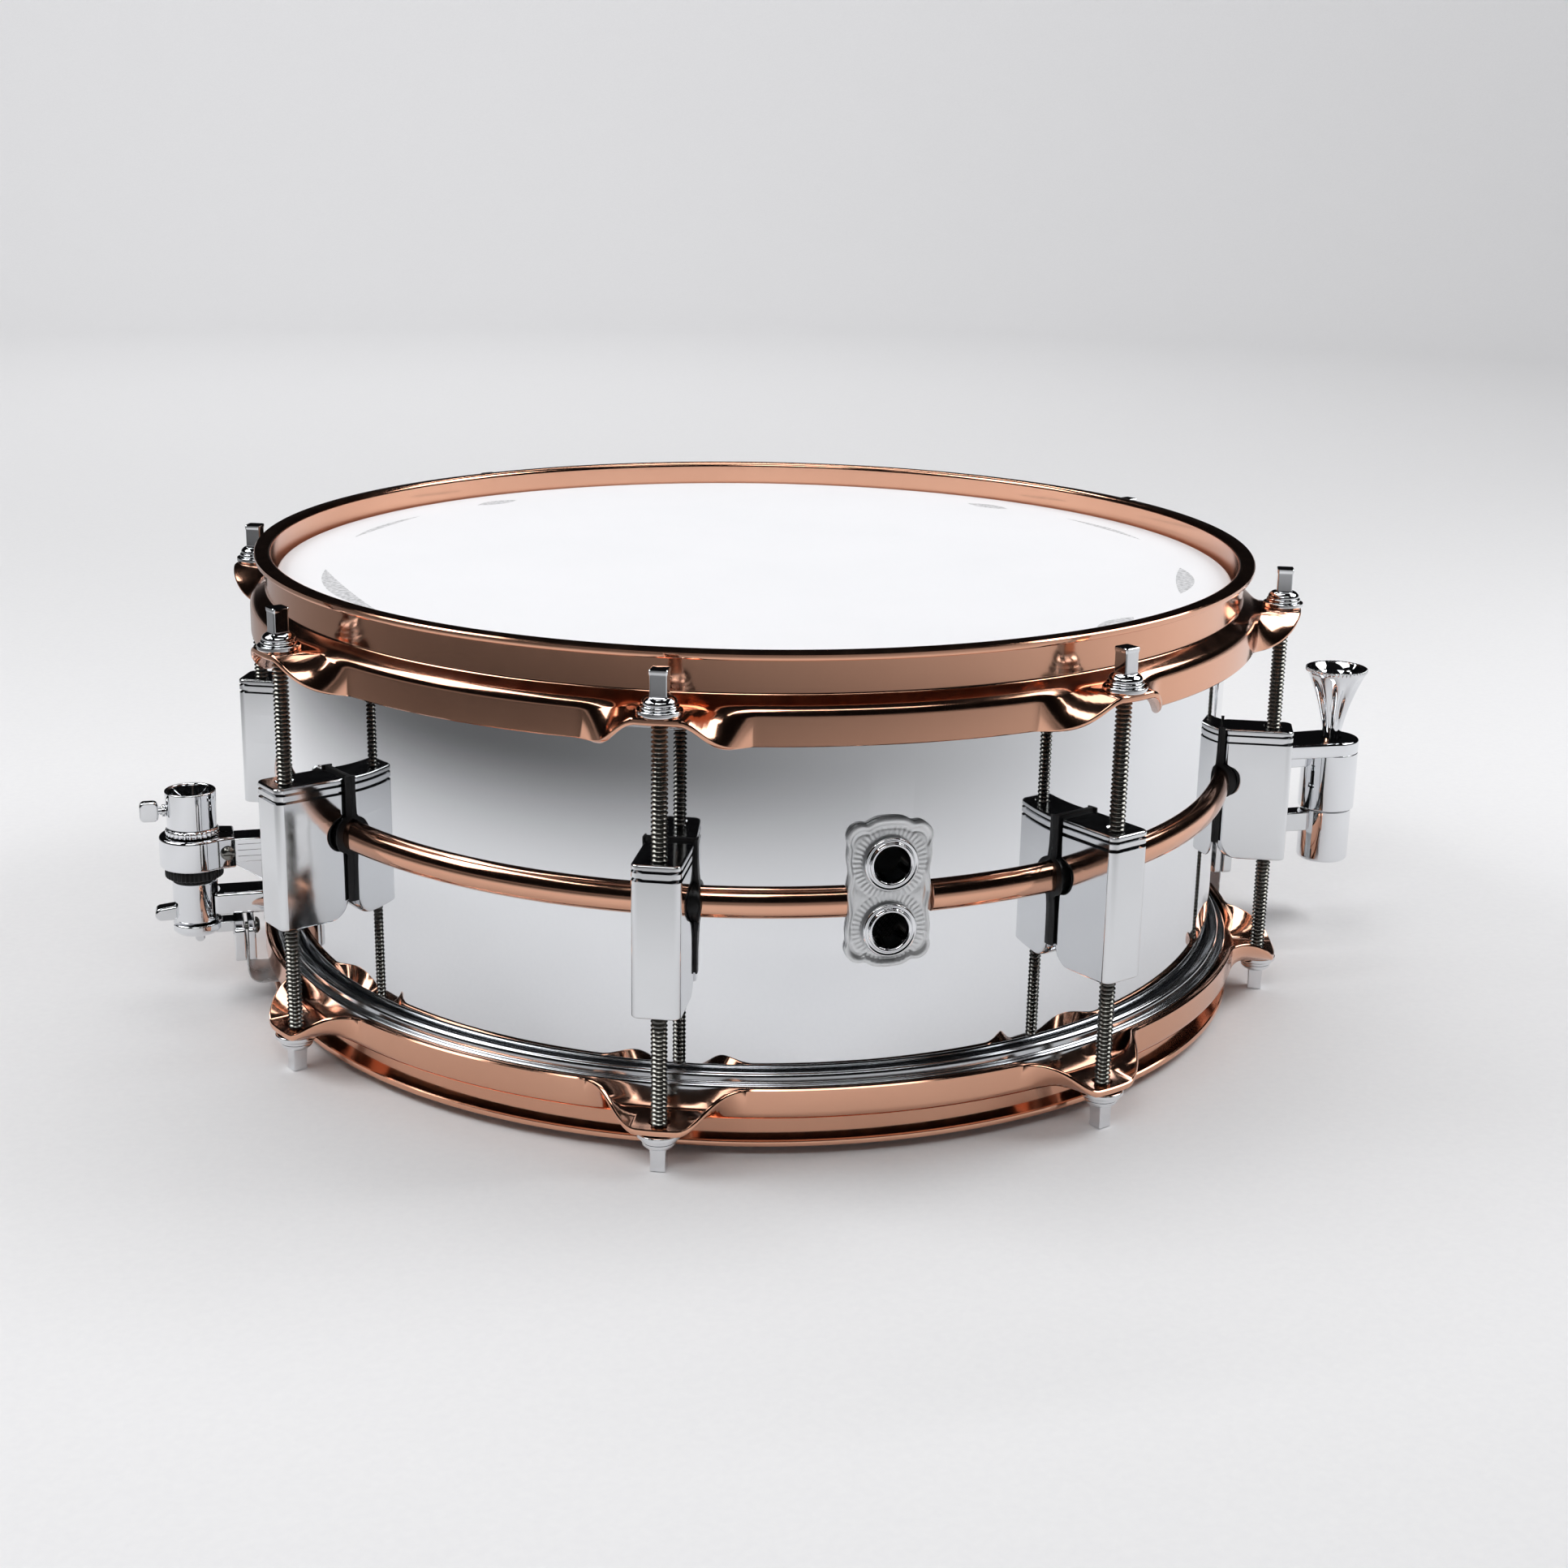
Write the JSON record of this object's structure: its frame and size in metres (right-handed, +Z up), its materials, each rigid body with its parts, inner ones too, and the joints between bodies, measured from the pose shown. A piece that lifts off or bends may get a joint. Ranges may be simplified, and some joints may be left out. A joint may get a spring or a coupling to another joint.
{
  "type": "snare drum",
  "caption": "Metal-shell snare drum with flanged hoops, tuned heads, tension rods in box lugs, snare wires, a throw-off and a butt adjuster.",
  "frame": {"origin": "centre of the batter head's playing face", "axes": "+Z up out of the batter head, +X from the throw-off to the butt, -Y towards the badge and vents"},
  "size_m": [0.491, 0.3826, 0.1682],
  "materials": {
    "chrome_plate": "mirror chrome plating",
    "copper_plate": "polished copper plating",
    "coated_film": "sprayed white coating",
    "clear_film": "thin hazy film",
    "aluminium_hoop": "bright rolled channel",
    "satin_silver": "satin pressed plate",
    "threaded_steel": "plated screw steel",
    "snare_wire": "bright coiled wire",
    "strap_film": "clear plastic strap",
    "black_ring": "moulded ribbed rubber"
  },
  "bodies": {
    "drum": {"shell": "chrome_plate", "bead_ring": "copper_plate", "batter_head": "coated_film", "snare_head": "clear_film", "batter_flesh_hoop": "aluminium_hoop", "snare_flesh_hoop": "aluminium_hoop", "batter_hoop": "copper_plate", "snare_hoop": "copper_plate", "lug_1": "chrome_plate", "lug_2": "chrome_plate", "lug_3": "chrome_plate", "lug_4": "chrome_plate", "lug_5": "chrome_plate", "lug_6": "chrome_plate", "lug_7": "chrome_plate", "lug_8": "chrome_plate", "badge_plate": "satin_silver", "vent_eyelet_upper": "chrome_plate", "vent_eyelet_lower": "chrome_plate", "strainer_base": "chrome_plate", "strainer_collar_bolt": "threaded_steel", "butt_bracket": "chrome_plate"},
    "batter_rod_1": {"batter_rod_1": "threaded_steel"},
    "snare_rod_1": {"snare_rod_1": "threaded_steel"},
    "batter_rod_2": {"batter_rod_2": "threaded_steel"},
    "snare_rod_2": {"snare_rod_2": "threaded_steel"},
    "batter_rod_3": {"batter_rod_3": "threaded_steel"},
    "snare_rod_3": {"snare_rod_3": "threaded_steel"},
    "batter_rod_4": {"batter_rod_4": "threaded_steel"},
    "snare_rod_4": {"snare_rod_4": "threaded_steel"},
    "batter_rod_5": {"batter_rod_5": "threaded_steel"},
    "snare_rod_5": {"snare_rod_5": "threaded_steel"},
    "batter_rod_6": {"batter_rod_6": "threaded_steel"},
    "snare_rod_6": {"snare_rod_6": "threaded_steel"},
    "batter_rod_7": {"batter_rod_7": "threaded_steel"},
    "snare_rod_7": {"snare_rod_7": "threaded_steel"},
    "batter_rod_8": {"batter_rod_8": "threaded_steel"},
    "snare_rod_8": {"snare_rod_8": "threaded_steel"},
    "strainer_adjuster": {"strainer_adjuster_cup": "chrome_plate"},
    "strainer_thumb_screw": {"strainer_thumb_screw": "chrome_plate"},
    "strainer_slide": {"strainer_slide": "chrome_plate"},
    "strainer_lock_ring": {"strainer_lock_ring": "black_ring"},
    "strainer_lever": {"strainer_lever": "chrome_plate"},
    "strainer_clamp": {"strainer_strap_clamp": "chrome_plate", "strainer_strap_plate": "satin_silver", "strainer_strap_screw": "threaded_steel"},
    "butt_knob": {"butt_knob": "chrome_plate"},
    "butt_slide": {"butt_slide": "chrome_plate", "butt_strap_plate": "satin_silver", "butt_strap_screw": "threaded_steel"},
    "snare_wires": {"snare_wires": "snare_wire", "strainer_strap": "strap_film", "butt_strap": "strap_film"}
  },
  "joints": [
    {"name": "batter_rod_1_turn", "type": "hinge", "parent": "drum", "child": "batter_rod_1", "pos_m": [-0.0755, -0.18228, -0.0087], "axis": [0, 0, 1], "continuous": true},
    {"name": "snare_rod_1_turn", "type": "hinge", "parent": "drum", "child": "snare_rod_1", "pos_m": [-0.0755, -0.18228, -0.1454], "axis": [0, 0, -1], "continuous": true},
    {"name": "batter_rod_2_turn", "type": "hinge", "parent": "drum", "child": "batter_rod_2", "pos_m": [0.0755, -0.18228, -0.0087], "axis": [0, 0, 1], "continuous": true},
    {"name": "snare_rod_2_turn", "type": "hinge", "parent": "drum", "child": "snare_rod_2", "pos_m": [0.0755, -0.18228, -0.1454], "axis": [0, 0, -1], "continuous": true},
    {"name": "batter_rod_3_turn", "type": "hinge", "parent": "drum", "child": "batter_rod_3", "pos_m": [0.18228, -0.0755, -0.0087], "axis": [0, 0, 1], "continuous": true},
    {"name": "snare_rod_3_turn", "type": "hinge", "parent": "drum", "child": "snare_rod_3", "pos_m": [0.18228, -0.0755, -0.1454], "axis": [0, 0, -1], "continuous": true},
    {"name": "batter_rod_4_turn", "type": "hinge", "parent": "drum", "child": "batter_rod_4", "pos_m": [0.18228, 0.0755, -0.0087], "axis": [0, 0, 1], "continuous": true},
    {"name": "snare_rod_4_turn", "type": "hinge", "parent": "drum", "child": "snare_rod_4", "pos_m": [0.18228, 0.0755, -0.1454], "axis": [0, 0, -1], "continuous": true},
    {"name": "batter_rod_5_turn", "type": "hinge", "parent": "drum", "child": "batter_rod_5", "pos_m": [0.0755, 0.18228, -0.0087], "axis": [0, 0, 1], "continuous": true},
    {"name": "snare_rod_5_turn", "type": "hinge", "parent": "drum", "child": "snare_rod_5", "pos_m": [0.0755, 0.18228, -0.1454], "axis": [0, 0, -1], "continuous": true},
    {"name": "batter_rod_6_turn", "type": "hinge", "parent": "drum", "child": "batter_rod_6", "pos_m": [-0.0755, 0.18228, -0.0087], "axis": [0, 0, 1], "continuous": true},
    {"name": "snare_rod_6_turn", "type": "hinge", "parent": "drum", "child": "snare_rod_6", "pos_m": [-0.0755, 0.18228, -0.1454], "axis": [0, 0, -1], "continuous": true},
    {"name": "batter_rod_7_turn", "type": "hinge", "parent": "drum", "child": "batter_rod_7", "pos_m": [-0.18228, 0.0755, -0.0087], "axis": [0, 0, 1], "continuous": true},
    {"name": "snare_rod_7_turn", "type": "hinge", "parent": "drum", "child": "snare_rod_7", "pos_m": [-0.18228, 0.0755, -0.1454], "axis": [0, 0, -1], "continuous": true},
    {"name": "batter_rod_8_turn", "type": "hinge", "parent": "drum", "child": "batter_rod_8", "pos_m": [-0.18228, -0.0755, -0.0087], "axis": [0, 0, 1], "continuous": true},
    {"name": "snare_rod_8_turn", "type": "hinge", "parent": "drum", "child": "snare_rod_8", "pos_m": [-0.18228, -0.0755, -0.1454], "axis": [0, 0, -1], "continuous": true},
    {"name": "strainer_adjust", "type": "hinge", "parent": "drum", "child": "strainer_adjuster", "pos_m": [-0.213, 0, -0.0857], "axis": [0, 0, 1], "range_deg": [0, 1080]},
    {"name": "strainer_tension", "type": "slide", "parent": "drum", "child": "strainer_slide", "axis": [0, 0, 1], "range_m": [-0.003, 0]},
    {"name": "strainer_thumb_turn", "type": "hinge", "parent": "strainer_adjuster", "child": "strainer_thumb_screw", "pos_m": [-0.2226, 0, -0.0853], "axis": [-1, 0, 0], "range_deg": [0, 180]},
    {"name": "strainer_lock", "type": "hinge", "parent": "strainer_slide", "child": "strainer_lock_ring", "pos_m": [-0.213, 0, -0.1089], "axis": [0, 0, 1], "continuous": true},
    {"name": "strainer_throw", "type": "hinge", "parent": "strainer_slide", "child": "strainer_lever", "pos_m": [-0.218, 0, -0.1242], "axis": [0, -1, 0], "range_deg": [0, 80]},
    {"name": "strainer_drop", "type": "slide", "parent": "strainer_slide", "child": "strainer_clamp", "axis": [0, 0, 1], "range_m": [-0.0022, 0]},
    {"name": "wire_drop", "type": "hinge", "parent": "drum", "child": "snare_wires", "pos_m": [0.183, 0, -0.15075], "axis": [0, -1, 0], "range_deg": [0, 0.34]},
    {"name": "butt_adjust", "type": "hinge", "parent": "drum", "child": "butt_knob", "pos_m": [0.247, 0, -0.0647], "axis": [0, 0, 1], "range_deg": [0, 1080]},
    {"name": "butt_tension", "type": "slide", "parent": "drum", "child": "butt_slide", "axis": [0, 0, 1], "range_m": [-0.003, 0]}
  ],
  "couplings": [
    {"joint": "strainer_tension", "follows": "strainer_adjust", "m_per_rad": -0.000159},
    {"joint": "butt_tension", "follows": "butt_adjust", "m_per_rad": -0.000159},
    {"joint": "strainer_drop", "follows": "strainer_throw", "m_per_rad": -0.001575},
    {"joint": "wire_drop", "follows": "strainer_throw", "ratio": 0.00424}
  ]
}
